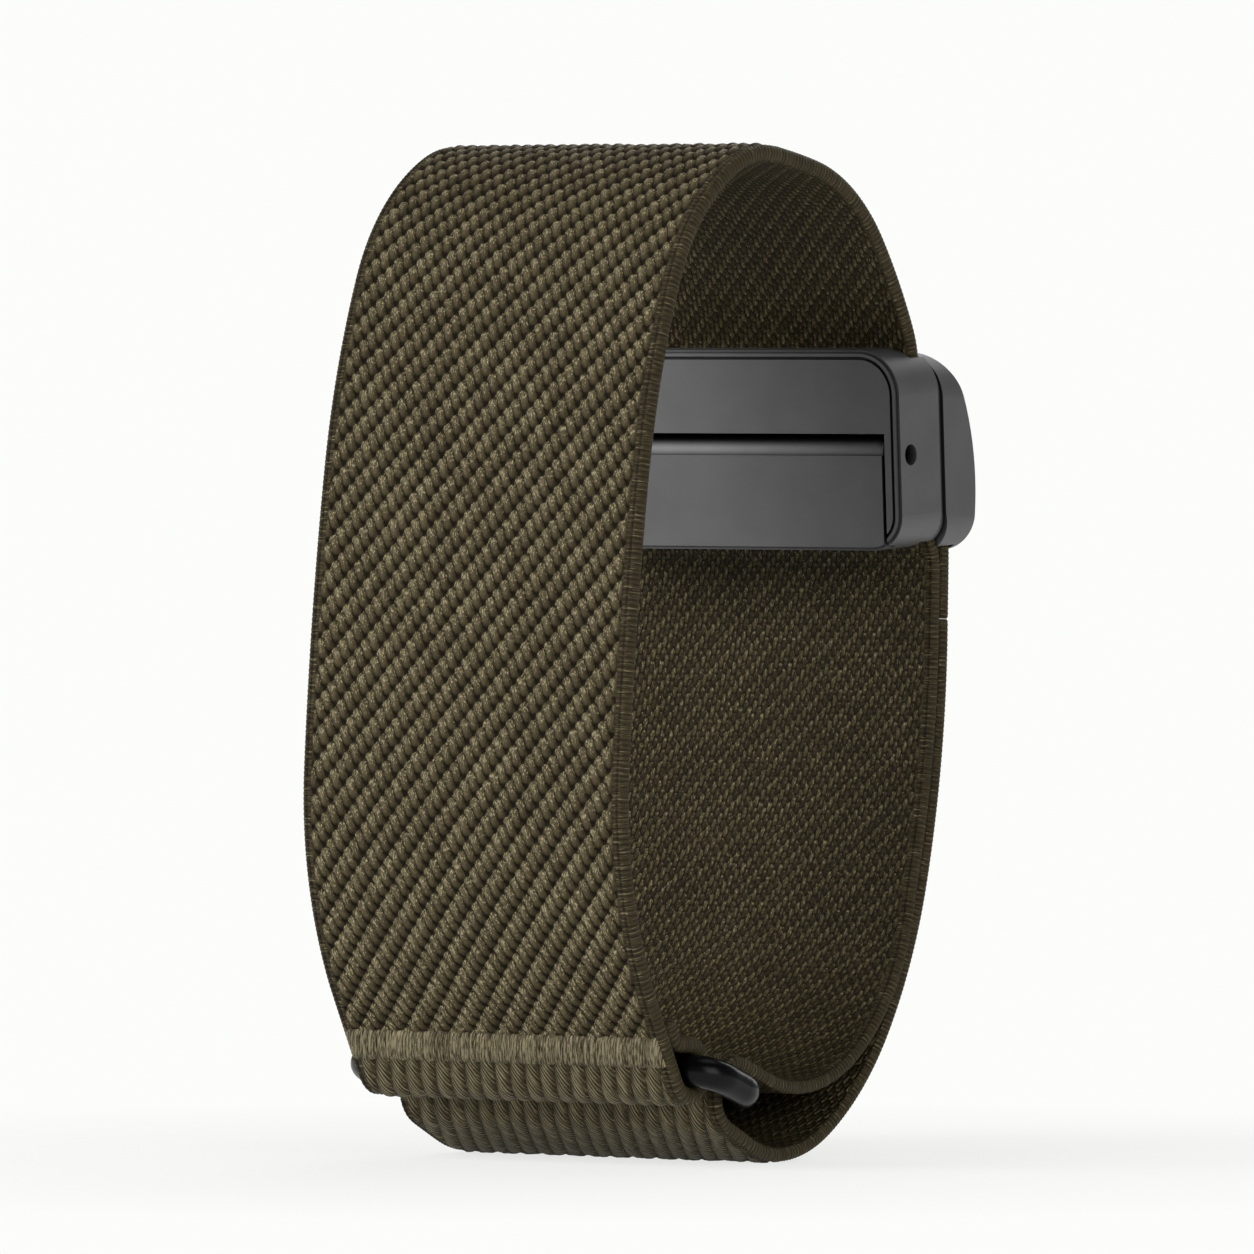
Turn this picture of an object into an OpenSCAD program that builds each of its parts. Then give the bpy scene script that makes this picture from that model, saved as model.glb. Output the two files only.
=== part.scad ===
// Magnetic nylon watch band: a closed loop of webbing with a wire ring and a two-part magnetic clasp.
// X runs along the wrist, +Y points to the clasp and +Z is up. The origin is the centre of the loop.

/* [Webbing] */
// Width of the webbing
strap_w = 22; // [20:0.5:24]
// Thickness of the main strap
strap_t = 1; // [0.8:0.05:1.05]
// Thickness of each layer of the tail strap
tail_t = 0.8; // [0.6:0.05:0.85]
// Gap between the tail's two layers
layer_gap = 0.15; // [0.14:0.01:0.2]
// Length of the sewn seam beyond the fold round the ring
fold_seam = 1.5; // [1:0.1:3]
// Length of the main strap's free stretch between the fold and the seam
fold_merge = 2.1; // [2:0.1:2.6]
// Length of the tail's return below the spring bar's loop
return_run = 3; // [2.4:0.1:3.3]
// Gap along the tail between the return and the free end
end_gap = 0.75; // [0.5:0.05:1]

/* [Stitching] */
// Width of the satin-stitched bar across the fold
satin_w = 1.7; // [1.2:0.1:1.8]
// Height of the satin-stitched bar
satin_h = 0.35; // [0.2:0.05:0.5]
// Width of a stitch row on the tail
row_w = 0.5; // [0.4:0.05:0.6]
// Height of a stitch row on the tail
row_h = 0.16; // [0.1:0.02:0.25]
// Inset of the stitching from the webbing's edges
stitch_inset = 0.5; // [0.3:0.1:1]

/* [Hook and loop patches] */
// Inset of the patches from the webbing's edges
patch_inset = 1.2; // [0.8:0.1:2]
// Depth of the shallow seat of each patch
patch_seat = 0.2; // [0.1:0.02:0.25]
// Height of each patch above the webbing
patch_rise = 0.045; // [0.02:0.005:0.05]

/* [Ring] */
// Diameter of the ring's wire
wire_d = 1.85; // [1.6:0.05:2]
// Distance between the centres of the ring's two bars
ring_span = 4.5; // [4.4:0.1:5.5]
// Radius of the ring's corners at the wire's centre
ring_corner_r = 1.4; // [1.2:0.1:1.6]
// Gap between the webbing's edge and the ring's end wires
ring_side_gap = 0.2; // [0.18:0.02:0.5]
// Radial clearance of the main strap's fold on the ring
fold_slack = 0.05; // [0.02:0.01:0.1]
// Radial slack of the tail's turn round the ring
turn_slack = 0.6; // [0.5:0.01:0.7]

/* [Clasp] */
// Side wall of the clasp beside the webbing
clasp_wall = 1; // [0.9:0.05:1.5]
// Height of the clasp along the strap
clasp_h = 11.5; // [11:0.1:13]
// Radius of the clasp's top corners
clasp_top_r = 2.6; // [2.2:0.1:3.4]
// Radius of the clasp's bottom corners
clasp_low_r = 2; // [1:0.1:3]
// Step between the two halves' outlines at the seam
seam_step = 0.4; // [0:0.05:0.6]
// Inset of the seam's line
seam_inset = 0.2; // [0.1:0.02:0.3]
// Thickness of the wrist-side half, with its back plate
base_t = 4.8; // [4.8:0.1:5.5]
// Thickness of the back plate
plate_t = 0.5; // [0.4:0.05:0.6]
// Thickness of the cover at its middle
cover_t = 3.2; // [3.1:0.05:3.6]
// Radius of the cover's curved face
dome_r = 13; // [13:1:60]
// Width of the fine step and groove round the inner face
groove_w = 0.18; // [0.1:0.02:0.25]
// Depth of the fine step and groove
groove_depth = 0.18; // [0.05:0.01:0.25]

/* [Clamp flap] */
// Radius of the flap's hinge pin
pin_r = 0.6; // [0.4:0.05:0.7]
// Recess of the pin's ends in the clasp's sides
pin_recess = 0.6; // [0.3:0.05:0.85]
// Radius of the flap's knuckle
knuckle_r = 1.1; // [1:0.02:1.2]
// Thickness of the flap's plate
flap_t = 0.8; // [0.6:0.05:0.9]
// Height of the clamp bar along the strap
clamp_h = 1.5; // [1:0.1:1.6]

/* [Magnets] */
// Thickness of the base magnets
base_magnet_t = 2.15; // [1.5:0.05:2.2]
// Height of the base magnets along the strap
base_magnet_h = 2.3; // [1.5:0.1:2.3]
// Length of the base magnets across the strap
base_magnet_l = 8.35; // [6:0.05:9]
// Thickness of the keeper plate
keeper_t = 0.4; // [0.3:0.05:0.4]
// Thickness of the cover magnets
cover_magnet_t = 1.3; // [1:0.05:1.4]
// Height of the cover magnets along the strap
cover_magnet_h = 4.1; // [3:0.1:4.3]
// Length of the cover magnets across the strap
cover_magnet_l = 6.8; // [5:0.1:7]
// Thickness of the cover's liner
liner_t = 0.4; // [0.3:0.05:0.5]

/* [Spring bar] */
// Radius of the spring bar's barrel
barrel_r = 0.6; // [0.55:0.01:0.65]
// Radius of the barrel's bore
barrel_bore_r = 0.4; // [0.38:0.01:0.45]
// Radius of the bar's tips
tip_r = 0.35; // [0.3:0.01:0.35]
// Engagement of each tip in the cover's side wall
tip_grip = 0.4; // [0.3:0.05:0.4]

/* [Hidden] */
$fn = 48;

// Flat pieces that a curve of the webbing is cut into
cuts = 5;
// Length that carries a cut past the solid that it cuts
past = 1;
// Clearance of a piece in its own pocket
fit = 0.05;
// Clearance of the pin in its holes
pin_fit = 0.01;
// Clearance round the flap's knuckle
knuckle_fit = 0.12;

// Place of the clasp's centre, on the seam between its two halves, and its lean, as Y and Z
clasp_at = [15, 11.7];
clasp_tilt = 3;
clasp_w = strap_w + 2 * clasp_wall;
channel_hw = strap_w / 2 + fit;

// Places in the clasp are v, outward from the seam, and u, upward from the middle
// Main strap's plane in its channel, its cut end and the mouth of its slot
strap_v = -plate_t - 0.1 - strap_t / 2;
strap_cut_u = -1.85;
slot_u = 4.8;
slot_flare = 0.28;
channel_front_v = strap_v - strap_t / 2 - fit;
// Flap's hinge line
pin_v = -base_t + 1.24;
pin_u = -0.1;
flap_hw = strap_w / 2 - 0.2;
recess_hw = flap_hw + 0.22;
recess_top_u = pin_u + knuckle_r + 0.04 + knuckle_fit;
clamp_top_u = -0.3;
clamp_hw = flap_hw - 0.6;
clamp_reach = norm([channel_front_v - pin_v, clamp_top_u - clamp_h - pin_u]);
// Base magnets stand on the keeper plate in a pocket that opens into the strap's channel
pocket_low_u = recess_top_u + 0.5;
pocket_front_v = channel_front_v - 0.1 - base_magnet_t - keeper_t;
magnet_mid_gap = 0.3;
// Spring bar, with the tail's loop round it
bar_v = 0.6;
bar_u = -3.6;
loop_r = barrel_r + fit + tail_t / 2;
loop_clear_r = loop_r + tail_t / 2 + 0.15;
cavity_hw = channel_hw + 0.05;
mouth_v = 2.2;
window_v = bar_v - loop_clear_r - 0.35;
window_top_u = bar_u + loop_clear_r;
barrel_hw = cavity_hw - 0.2;
tip_end = cavity_hw + tip_grip;
tip_travel = 0.5;
tip_start = barrel_hw - 2.4;
spring_hw = tip_start - tip_travel - 0.15;
swing_relief = 9;
// Middle of the cover's curve
dome_u = -2;
// Cover magnets and liner
magnet_low_u = window_top_u + 0.6;
liner_margin = 0.4;
liner_hw = cover_magnet_l + magnet_mid_gap / 2 + liner_margin;
liner_low_u = magnet_low_u - liner_margin;
liner_top_u = magnet_low_u + cover_magnet_h + liner_margin;
// Pegs that locate the cover on the base
peg_x = 9.3;
peg_u = 3;
peg_r = 1;
peg_h = 0.5;
peg_fit = 0.25;

// Curves of the webbing are steps of length and turn, walked along the webbing's middle
main_steps = [[2.2, 23.5], [6, 11.1], [7.8, 39.6], [4.3, 4.8], [3.8, 31.9], [9.5, 43.3], [11.2, 13.2],
    [17.1, 5.7], [12.7, 31]];
arm_heading = -74;
arm_lead = [[1.8, 0], [1, -17.5]];
arm_straight = 4.4;
arm_bow = [14.4, -14.6];
inner_steps = [[1.3, 5], [11, -48.1], [8.2, -45]];
outer_steps = [[9.3, -19.2], [8.1, -25.8], [4.7, -26.8], [3.2, -25.5]];
// Ring: the bar in the main strap's fold, and the slope to the other bar
front_bar = [-9.4, -23.1];
ring_slope = -19.5;
wire_r = wire_d / 2;
rear_bar = front_bar + ring_span * dir(ring_slope);
ring_end_x = strap_w / 2 + ring_side_gap + wire_r;
fold_r = wire_r + fold_slack + strap_t / 2;
turn_r = wire_r + turn_slack + tail_t / 2;
turn_at = rear_bar + (turn_slack - 0.2) * dir(ring_slope);

webbing_colour = "#52493a";
stitch_colour = "#5e5642";
metal_colour = "#3a3a3b";
steel_colour = "#8c8c8e";

function dir(a) = [cos(a), sin(a)];
function left(a) = [-sin(a), cos(a)];
function angle_of(p) = atan2(p.y, p.x);
function in_clasp(v, u) = clasp_at + v * dir(clasp_tilt) + u * left(clasp_tilt);
// Angle b, taken a whole turn on if it lies before a
function turn_on(a, b) = a + ((b - a) % 360 + 360) % 360;

// A pose is a point and a heading. One step further along a curve gives the next pose.
function after(pose, step) = step[1] == 0
    ? [pose[0] + step[0] * dir(pose[1]), pose[1]]
    : let (r = step[0] * 180 / (PI * step[1]))
        [pose[0] + r * (left(pose[1]) - left(pose[1] + step[1])), pose[1] + step[1]];
function trail(pose, steps, i = 0) = i == len(steps)
    ? [pose]
    : let (n = steps[i][1] == 0 ? 1 : cuts)
        concat([for (k = [0 : n - 1]) after(pose, steps[i] * k / n)], trail(after(pose, steps[i]), steps, i + 1));
function last(list) = list[len(list) - 1];
function beside(pose, d) = [pose[0] + d * left(pose[1]), pose[1]];
function beside_all(poses, d) = [for (q = poses) beside(q, d)];
// Pose where a straight line from p touches a circle that lies on its left (side 1) or right (side -1)
function touch(p, centre, r, side) =
    let (d = centre - p, h = angle_of(d) - side * asin(r / norm(d)))
        [p + sqrt(d * d - r * r) * dir(h), h];
function back(pose) = [pose[0], pose[1] + 180];
function span(from, length) = [from, from + length];

// Main strap: clamp end, over the top, down the front, tangent to the fold on the ring's front bar
main_trail = trail([in_clasp(strap_v, strap_cut_u), 90 + clasp_tilt],
    concat([[slot_u - strap_cut_u, 0]], main_steps));
fold_in = touch(last(main_trail)[0], front_bar, fold_r, 1);
seam_low = beside(after(fold_in, [-fold_merge, 0]), 0.95 * strap_t);
fold_out = touch(seam_low[0], front_bar, fold_r, -1);

// Tail's two layers lie either side of this trail from the spring bar down to the flex line
layer_mid = (tail_t + layer_gap) / 2;
arm_start = [in_clasp(bar_v, bar_u), arm_heading];
arm_spread = last(trail(arm_start, arm_lead));
arm_bend = after(arm_spread, [arm_straight, 0]);
flex = after(arm_bend, arm_bow);
loop_in = touch(beside(arm_spread, -layer_mid)[0], arm_start[0], loop_r, -1);
loop_out = touch(beside(arm_spread, layer_mid)[0], arm_start[0], loop_r, 1);
return_end = after(arm_spread, [return_run, 0]);
tail_top = after(return_end, [end_gap, 0]);
patch_start = after(arm_bend, 0.06 * arm_bow);
patch_step = 0.88 * arm_bow;

// Tail below the flex line: inner run, turn round the ring's rear bar, outer run
inner_trail = trail(beside(flex, -layer_mid), inner_steps);
outer_trail = trail(beside(flex, layer_mid), outer_steps);
turn_in = touch(last(inner_trail)[0], turn_at, turn_r, 1);
turn_out = touch(last(outer_trail)[0], turn_at, turn_r, -1);

// Y-Z outline carried across the wrist axis
module across(width) rotate([90, 0, 90]) linear_extrude(width, center = true) children();

// Flat strip that follows the poses, between two offsets to their left
module strip(poses, low, high, width) across(width) polygon(concat(
    [for (q = poses) beside(q, high)[0]],
    [for (i = [len(poses) - 1 : -1 : 0]) beside(poses[i], low)[0]]));

module webbing(poses, t, width = strap_w) strip(poses, -t / 2, t / 2, width);

// Webbing that turns round a centre, between two angles
module sleeve(centre, r, t, from, to) intersection() {
    across(strap_w) translate(centre) difference() {
        circle(r + t / 2);
        circle(r - t / 2);
    }
    across(strap_w + 2 * past) translate(centre)
        polygon(concat([[0, 0]], [for (k = [0 : 6]) 3 * r * dir(from + (to - from) * k / 6)]));
}

// Raised row of stitches that stands on a face beside a pose; side 1 is the pose's left
module stitch_row(pose, offset, side, w, h) {
    r = (w * w / 4 + h * h) / (2 * h);
    across(strap_w - 2 * stitch_inset) translate(pose[0]) rotate(pose[1]) scale([1, side]) translate([0, offset])
        intersection() {
            translate([0, h - r]) circle(r);
            translate([-w, 0]) square([2 * w, 2 * h]);
        }
}

module main_strap() color(webbing_colour) {
    webbing(concat(main_trail, [fold_in]), strap_t);
    sleeve(front_bar, fold_r, strap_t, fold_in[1] - 90,
        turn_on(fold_in[1] - 90, angle_of(fold_out[0] - front_bar)));
    webbing([back(fold_out), [seam_low[0], (fold_out[1] + fold_in[1]) / 2 + 180],
        back(after(seam_low, [-fold_seam, 0]))], strap_t);
}

module main_strap_bar_stitch() color(stitch_colour)
    stitch_row(after(fold_in, [-1.35 - satin_w / 2, 0]), strap_t / 2, -1, satin_w, satin_h);

module adjuster_ring() color(metal_colour)
    translate([0, front_bar.x, front_bar.y]) rotate([ring_slope, 0, 0]) {
        straight_x = ring_end_x - ring_corner_r;
        for (y = [0, ring_span])
            translate([-straight_x, y, 0]) rotate([0, 90, 0]) cylinder(h = 2 * straight_x, r = wire_r);
        for (x = [-ring_end_x, ring_end_x])
            translate([x, ring_corner_r, 0]) rotate([-90, 0, 0])
                cylinder(h = ring_span - 2 * ring_corner_r, r = wire_r);
        for (x = [-1, 1], y = [-1, 1])
            translate([x * straight_x, ring_span / 2 + y * (ring_span / 2 - ring_corner_r), 0]) intersection() {
                rotate_extrude() translate([ring_corner_r, 0]) circle(wire_r);
                scale([x, y, 1]) translate([0, 0, -2 * wire_r]) cube(4 * wire_r + ring_corner_r);
            }
    }

module tail_strap_lower() color(webbing_colour) {
    webbing(concat(inner_trail, [turn_in]), tail_t);
    sleeve(turn_at, turn_r, tail_t, angle_of(turn_in[0] - turn_at),
        turn_on(angle_of(turn_in[0] - turn_at), angle_of(turn_out[0] - turn_at)));
    webbing(concat(outer_trail, [turn_out]), tail_t);
}

module patch(side) {
    low = layer_gap / 2 - patch_rise;
    high = layer_gap / 2 + patch_seat;
    strip(trail(patch_start, [patch_step]), side > 0 ? low : -high, side > 0 ? high : -low,
        strap_w - 2 * patch_inset);
}

module tail_strap_upper() color(webbing_colour) {
    difference() {
        webbing(beside_all(trail(arm_spread, [[arm_straight, 0], arm_bow]), -layer_mid), tail_t);
        patch(-1);
    }
    webbing([back(loop_in), beside(arm_spread, -layer_mid)], tail_t);
    sleeve(arm_start[0], loop_r, tail_t, angle_of(loop_out[0] - arm_start[0]),
        turn_on(angle_of(loop_out[0] - arm_start[0]), angle_of(loop_in[0] - arm_start[0])));
    webbing(concat([back(loop_out)], beside_all([arm_spread, return_end], layer_mid)), tail_t);
}

module tail_strap_stitch() color(stitch_colour)
    stitch_row(after(return_end, [-0.15 - row_w / 2, 0]), layer_mid + tail_t / 2, 1, row_w, row_h);

module loop_patch() color("#2c2a24") patch(-1);

module tail_strap_end() color(webbing_colour) difference() {
    webbing(beside_all(concat([tail_top], trail(arm_bend, [arm_bow])), layer_mid), tail_t);
    patch(1);
}

module hook_patch() color("#2c2a24") patch(1);

module tail_end_stitch() color(stitch_colour)
    stitch_row(after(tail_top, [0.1 + row_w / 2, 0]), layer_mid + tail_t / 2, 1, row_w, row_h);

// Clasp's own frame: X across, Y outward from the seam (v) and Z up from the middle (u)
module clasp_frame() translate([0, clasp_at.x, clasp_at.y]) rotate([clasp_tilt, 0, 0]) children();
module slab(v0, v1) rotate([90, 0, 0]) translate([0, 0, -v1]) linear_extrude(v1 - v0) children();
module rod(r, half, v, u) translate([-half, v, u]) rotate([0, 90, 0]) cylinder(h = 2 * half, r = r);
module box(x, v, u) translate([x[0], v[0], u[0]]) cube([x[1] - x[0], v[1] - v[0], u[1] - u[0]]);

// Outline of one half. rise lifts it from the middle.
module clasp_outline(inset = 0, rise = 0) {
    w = clasp_w - 2 * inset;
    h = clasp_h - 2 * inset;
    top = clasp_top_r - inset;
    low = clasp_low_r - inset;
    translate([0, rise]) {
        translate([top - w / 2, 0]) square([w - 2 * top, h / 2]);
        translate([-w / 2, low - h / 2]) square([w, h - top - low]);
        translate([low - w / 2, -h / 2]) square([w - 2 * low, h / 2]);
        for (x = [-1, 1]) {
            translate([x * (w / 2 - top), h / 2 - top]) circle(top);
            translate([x * (w / 2 - low), low - h / 2]) circle(low);
        }
    }
}

// Ring-shaped cut into the inner face, between two insets from its outline
module face_cut(from, to) slab(-base_t - past, -base_t + groove_depth) difference() {
    clasp_outline(from, seam_step / 2);
    clasp_outline(to, seam_step / 2);
}

// Fine step round the inner face's edge
module edge_step() face_cut(-past, groove_w);

module clasp_base() color(metal_colour) clasp_frame() difference() {
    slab(-base_t, -plate_t) clasp_outline(0, seam_step / 2);
    box([-channel_hw, channel_hw], [channel_front_v, 0], [window_top_u, clasp_h]);
    box([-channel_hw, channel_hw], [channel_front_v - slot_flare, 0], [slot_u - 0.4, clasp_h]);
    box([-1, 1] * (base_magnet_l + magnet_mid_gap / 2 + fit), [pocket_front_v, 0],
        [pocket_low_u, pocket_low_u + base_magnet_h + 2 * fit]);
    box([-recess_hw, recess_hw], [-base_t - past, pin_v], [pin_u, recess_top_u]);
    box([-recess_hw, recess_hw], [-base_t - past, -base_t + flap_t + fit], [-clasp_h, pin_u + past / 2]);
    rod(knuckle_r + knuckle_fit, recess_hw, pin_v, pin_u);
    box([-1, 1] * (clamp_hw + 0.1), [-base_t + flap_t, window_v], [pin_u - clamp_reach - 0.15, pin_u]);
    box([-channel_hw, channel_hw], [window_v, 0], [-clasp_h, window_top_u]);
    rod(pin_r + pin_fit, clasp_w, pin_v, pin_u);
    edge_step();
    face_cut(2 * groove_w, 3 * groove_w);
}

module base_back_plate() color(metal_colour) clasp_frame() {
    difference() {
        slab(-plate_t, 0) clasp_outline(seam_inset);
        box([-channel_hw, channel_hw], [-plate_t - past, past], [-clasp_h, window_top_u]);
    }
    for (x = [-peg_x, peg_x]) translate([x, 0, peg_u]) rotate([-90, 0, 0]) cylinder(h = peg_h, r = peg_r);
}

module base_keeper_plate() color(steel_colour) clasp_frame()
    box([-1, 1] * (base_magnet_l + magnet_mid_gap / 2), span(pocket_front_v, keeper_t),
        span(pocket_low_u + fit, base_magnet_h));

module base_magnet(side) color(steel_colour) clasp_frame() mirror([side < 0 ? 1 : 0, 0, 0])
    box(span(magnet_mid_gap / 2, base_magnet_l), span(pocket_front_v + keeper_t, base_magnet_t),
        span(pocket_low_u + fit, base_magnet_h));
module base_magnet_left() base_magnet(-1);
module base_magnet_right() base_magnet(1);

module flap_pin() color(steel_colour) clasp_frame() rod(pin_r, clasp_w / 2 - pin_recess, pin_v, pin_u);

module clamp_flap() color(metal_colour) clasp_frame() difference() {
    union() {
        rod(knuckle_r, flap_hw, pin_v, pin_u);
        intersection() {
            slab(-base_t, -base_t + flap_t) clasp_outline(0, seam_step / 2);
            box([-flap_hw, flap_hw], [-base_t - past, 0], [-clasp_h, pin_u]);
        }
        box([-clamp_hw, clamp_hw], [-base_t + flap_t / 2, channel_front_v], [clamp_top_u - clamp_h, clamp_top_u]);
    }
    rod(pin_r + fit, clasp_w, pin_v, pin_u);
    edge_step();
}

module cover_shell() color(metal_colour) clasp_frame() difference() {
    intersection() {
        slab(0, cover_t) clasp_outline(0, -seam_step / 2);
        rod(dome_r, clasp_w, cover_t - dome_r, dome_u);
    }
    box([-liner_hw - fit, liner_hw + fit], [-past, liner_t], [liner_low_u - fit, liner_top_u + fit]);
    box([-1, 1] * (cover_magnet_l + magnet_mid_gap / 2 + fit), [0, liner_t + cover_magnet_t + fit],
        [magnet_low_u - fit, magnet_low_u + cover_magnet_h + fit]);
    rod(loop_clear_r, cavity_hw, bar_v, bar_u);
    across(2 * cavity_hw) polygon([[-past, bar_u], [bar_v + loop_clear_r, bar_u],
        [mouth_v, -clasp_h / 2], [mouth_v, -clasp_h], [-past, -clasp_h]]);
    across(2 * clasp_w) polygon([[0, bar_u], [clasp_h * tan(swing_relief), bar_u - clasp_h], [-past, bar_u - clasp_h],
        [-past, bar_u]]);
    rod(tip_r + fit, tip_end + fit, bar_v, bar_u);
    for (x = [-peg_x, peg_x]) translate([x, -past, peg_u]) rotate([-90, 0, 0])
        cylinder(h = past + peg_h + peg_fit, r = peg_r + peg_fit);
}

module cover_liner() color(metal_colour) clasp_frame()
    box([-liner_hw, liner_hw], [0, liner_t], [liner_low_u, liner_top_u]);

module cover_magnet(side) color(steel_colour) clasp_frame() mirror([side < 0 ? 1 : 0, 0, 0])
    box(span(magnet_mid_gap / 2, cover_magnet_l), span(liner_t, cover_magnet_t),
        span(magnet_low_u, cover_magnet_h));
module cover_magnet_left() cover_magnet(-1);
module cover_magnet_right() cover_magnet(1);

module spring_bar_barrel() color(steel_colour) clasp_frame() difference() {
    rod(barrel_r, barrel_hw, bar_v, bar_u);
    rod(barrel_bore_r, clasp_w, bar_v, bar_u);
}

module spring_bar_spring() color(steel_colour) clasp_frame() rod(barrel_bore_r - 0.02, spring_hw, bar_v, bar_u);

module spring_bar_tip(side) color(steel_colour) clasp_frame() mirror([side < 0 ? 1 : 0, 0, 0])
    translate([tip_start, bar_v, bar_u]) rotate([0, 90, 0]) cylinder(h = tip_end - tip_start, r = tip_r);
module spring_bar_tip_left() spring_bar_tip(-1);
module spring_bar_tip_right() spring_bar_tip(1);

main_strap();
main_strap_bar_stitch();
clasp_base();
base_back_plate();
base_keeper_plate();
base_magnet_left();
base_magnet_right();
flap_pin();
clamp_flap();
adjuster_ring();
tail_strap_lower();
tail_strap_upper();
tail_strap_stitch();
loop_patch();
tail_strap_end();
hook_patch();
tail_end_stitch();
cover_shell();
cover_liner();
cover_magnet_left();
cover_magnet_right();
spring_bar_barrel();
spring_bar_spring();
spring_bar_tip_left();
spring_bar_tip_right();
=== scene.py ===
"""Looks of a magnetic nylon watch band: woven webbing, stitching, wire ring and satin black clasp.

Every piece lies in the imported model's frame, in metres: X along the wrist, +Y to the clasp, +Z up.
"""

import math
from collections import namedtuple

import bpy
import numpy as np
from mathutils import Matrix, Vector


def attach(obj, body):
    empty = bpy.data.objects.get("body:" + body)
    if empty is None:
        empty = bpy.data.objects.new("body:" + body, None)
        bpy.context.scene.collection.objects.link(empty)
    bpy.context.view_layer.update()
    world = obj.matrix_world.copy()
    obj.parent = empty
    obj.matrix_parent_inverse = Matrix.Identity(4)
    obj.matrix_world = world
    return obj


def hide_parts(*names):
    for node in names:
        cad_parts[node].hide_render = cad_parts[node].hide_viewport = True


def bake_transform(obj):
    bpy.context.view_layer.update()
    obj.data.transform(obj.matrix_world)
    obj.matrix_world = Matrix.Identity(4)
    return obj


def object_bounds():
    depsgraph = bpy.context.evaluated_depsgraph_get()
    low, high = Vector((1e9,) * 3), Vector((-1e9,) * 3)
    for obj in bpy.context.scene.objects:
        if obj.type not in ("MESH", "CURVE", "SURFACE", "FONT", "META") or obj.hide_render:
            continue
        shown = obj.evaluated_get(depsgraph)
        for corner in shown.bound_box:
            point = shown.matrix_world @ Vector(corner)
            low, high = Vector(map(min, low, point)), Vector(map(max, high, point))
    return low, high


bl_info = {
    "name": "Magnetic nylon watch band",
    "version": (1, 0, 0),
    "blender": (4, 5, 0),
    "location": "3D View > Sidebar > Band",
    "description": "Builds the woven webbing, stitching and metal finishes of a magnetic watch band",
    "category": "Add Mesh",
}

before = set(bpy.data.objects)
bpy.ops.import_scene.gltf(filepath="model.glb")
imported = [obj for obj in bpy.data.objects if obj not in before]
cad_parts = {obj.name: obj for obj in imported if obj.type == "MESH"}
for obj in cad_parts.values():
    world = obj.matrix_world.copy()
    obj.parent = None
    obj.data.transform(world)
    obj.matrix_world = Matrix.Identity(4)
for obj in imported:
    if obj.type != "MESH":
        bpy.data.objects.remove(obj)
CAD_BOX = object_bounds()
MM = 0.001

# Places that the construction model fixes, as Y and Z in millimetres, and angles in degrees
CLASP_AT = np.array([15.0, 11.7])
CLASP_TILT = 3.0
FRONT_BAR = np.array([-9.4, -23.1])
RING_SPAN = 4.5
RING_SLOPE = -19.5

# Curves of the webbing as steps of length (mm) and turn (degrees)
MAIN_STEPS = [
    (6.65, 0), (2.2, 23.5), (6, 11.1), (7.8, 39.6), (4.3, 4.8), (3.8, 31.9), (9.5, 43.3), (11.2, 13.2),
    (17.1, 5.7), (12.7, 31),
]
ARM_HEADING = -74.0
ARM_LEAD = [(1.8, 0), (1, -17.5)]
ARM_STRAIGHT = 4.4
ARM_BOW = (14.4, -14.6)
INNER_STEPS = [(1.3, 5), (11, -48.1), (8.2, -45)]
OUTER_STEPS = [(9.3, -19.2), (8.1, -25.8), (4.7, -26.8), (3.2, -25.5)]

# Ends of the webbing in the clasp, as outward and upward from the clasp's middle (mm)
CLAMPED_END = (-0.6, -1.85)
SPRING_BAR = (0.6, -3.6)
SPRING_BAR_RADIUS = 0.65
# Main strap's fold: slack round the ring's wire, run from the fold to the seam, and the seam's length (mm)
FOLD_SLACK = 0.05
FOLD_RUN = 2.1
SEAM = 1.5
# Tail's turn: slack round the ring's wire, and how far its middle lies past the wire's (mm)
TURN_SLACK = 0.6
TURN_PAST = 0.4
# Ends of the tail on its outer side, below the place where its two layers part (mm)
RETURN_END = 3.48
FREE_END = 3.5
# Hook and loop patches: start and length as shares of the arm's bow, inset from the webbing's edge, and
# distance between their rows of tufts (mm)
PATCH_START = 0.06
PATCH_SHARE = 0.88
PATCH_INSET = 1.2
TUFT_PITCH = 0.36


class BandSizes(bpy.types.PropertyGroup):
    """Sizes of the webbing, thread and ring, in millimetres."""

    webbing_width: bpy.props.FloatProperty(
        name="Webbing width", description="Width of the webbing", default=22)
    webbing_thickness: bpy.props.FloatProperty(
        name="Main thickness", description="Thickness of the main strap", default=1.0)
    tail_thickness: bpy.props.FloatProperty(
        name="Tail thickness", description="Thickness of each layer of the tail", default=0.8)
    layer_gap: bpy.props.FloatProperty(
        name="Layer gap", description="Gap between the tail's two layers", default=0.15)
    rib_pitch: bpy.props.FloatProperty(
        name="Rib pitch", description="Distance between the ribs near the ring", default=1.03)
    wire: bpy.props.FloatProperty(name="Wire", description="Diameter of the ring's wire", default=1.85)


class BandColours(bpy.types.PropertyGroup):
    """Colours of the webbing, thread and metal, as sRGB hex values."""

    # The deep colour is the painted shade in the gaps between the floats
    webbing_deep: bpy.props.StringProperty(
        name="Webbing, deep", description="Colour of the gaps between the floats", default="#1c1506")
    webbing_mid: bpy.props.StringProperty(
        name="Webbing, middle", description="Main colour of the nylon", default="#5a5038")
    # The light colour is that of the painted glints on the fibres
    webbing_light: bpy.props.StringProperty(
        name="Webbing, light", description="Colour of the bright fibres on the floats", default="#b3a987")
    metal: bpy.props.StringProperty(
        name="Clasp metal", description="Colour of the clasp's black coating", default="#606061")
    ring: bpy.props.StringProperty(
        name="Ring metal", description="Colour of the ring's black coating", default="#070708")


def srgb(code):
    """Linear colour with alpha from an sRGB hex value."""
    values = [int(code[i:i + 2], 16) / 255 for i in (1, 3, 5)]
    return [v / 12.92 if v <= 0.04045 else ((v + 0.055) / 1.055) ** 2.4 for v in values] + [1.0]


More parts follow.
